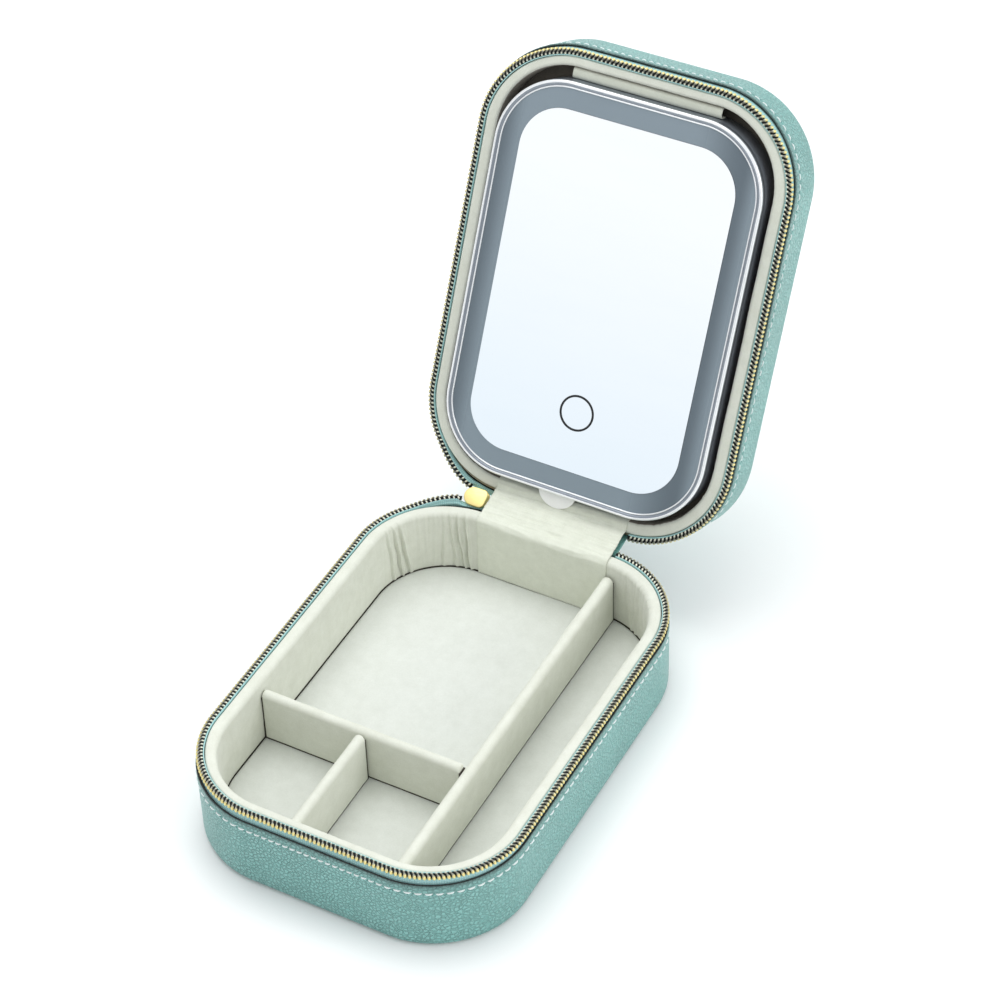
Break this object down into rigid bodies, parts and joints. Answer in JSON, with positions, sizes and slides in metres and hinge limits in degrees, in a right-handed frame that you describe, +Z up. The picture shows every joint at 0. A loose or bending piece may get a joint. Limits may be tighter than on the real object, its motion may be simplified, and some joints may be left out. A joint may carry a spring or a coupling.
{
  "type": "vanity case",
  "caption": "Zip-around travel vanity case: padded tray with dividers under a lid that opens past upright and holds a lit mirror with a touch ring.",
  "frame": {"origin": "middle of the underside of the base", "axes": "+X along the hinge to the right, +Y from the front to the hinge, +Z up"},
  "size_m": [0.123, 0.2725, 0.1864],
  "materials": {
    "teal_leather": "satin",
    "grey_board": "matte",
    "white_thread": "matte",
    "teal_tape": "matte",
    "gold_metal": "polished",
    "cream_suede": "matte",
    "cream_suede_board": "matte",
    "divider_suede": "matte",
    "cream_cloth": "matte",
    "recess_card": "matte",
    "plated_steel": "satin",
    "silver_frame": "satin",
    "frosted_panel": "satin",
    "mirror_glass": "polished",
    "black_print": "matte",
    "white_plastic": "matte",
    "white_board": "matte",
    "lamp_resin": "gloss",
    "grey_plastic": "matte",
    "green_board": "satin",
    "battery_foil": "satin",
    "black_foam": "matte",
    "copper_foil": "satin",
    "red_wire": "gloss",
    "white_wire": "gloss",
    "magnet_nickel": "polished",
    "white_tab": "satin"
  },
  "bodies": {
    "base": {"base_bottom_panel": "teal_leather", "base_board_tray": "grey_board", "base_wall_leather": "teal_leather", "base_stitch_thread": "white_thread", "base_zip_tape": "teal_tape", "base_zip_teeth": "gold_metal", "base_lining": "cream_suede", "base_floor_pad": "cream_suede_board", "long_divider": "divider_suede", "cross_divider": "divider_suede", "short_divider": "divider_suede", "hinge_flap_base": "cream_cloth", "zip_slider": "gold_metal", "zip_bail": "gold_metal", "hinge_flap_bridge": "cream_cloth", "spine_strip": "teal_leather"},
    "lid": {"lid_top_panel": "teal_leather", "lid_board_tray": "grey_board", "lid_wall_leather": "teal_leather", "lid_stitch_thread": "white_thread", "lid_zip_tape": "teal_tape", "lid_zip_teeth": "gold_metal", "lid_lining": "cream_suede", "lid_recess_pad": "recess_card", "hinge_flap_lid": "cream_cloth", "mirror_strap": "cream_cloth", "catch_plates": "plated_steel", "mirror_frame": "silver_frame", "light_panel": "frosted_panel", "mirror_glass": "mirror_glass", "touch_ring": "black_print", "glass_carrier": "white_plastic", "light_board": "white_board", "lamps": "lamp_resin", "mirror_rear_cover": "grey_plastic", "cover_screws": "plated_steel", "touch_sensor": "copper_foil", "control_board": "green_board", "charging_socket": "plated_steel", "battery": "battery_foil", "battery_pad": "black_foam", "battery_leads": "red_wire", "light_leads": "white_wire", "magnets": "magnet_nickel", "pull_tab": "white_tab"},
    "pull": {"zip_pull": "gold_metal"}
  },
  "joints": [
    {"name": "lid_hinge", "type": "hinge", "parent": "base", "child": "lid", "pos_m": [0, 0.0882, 0.0315], "axis": [1, 0, 0], "range_deg": [0, 115.65], "deforming": ["hinge_flap_bridge", "spine_strip"]},
    {"name": "pull_swing", "type": "hinge", "parent": "base", "child": "pull", "pos_m": [-0.0325, 0.0884, 0.02934], "axis": [0, 1, 0], "range_deg": [-50, 80]}
  ]
}
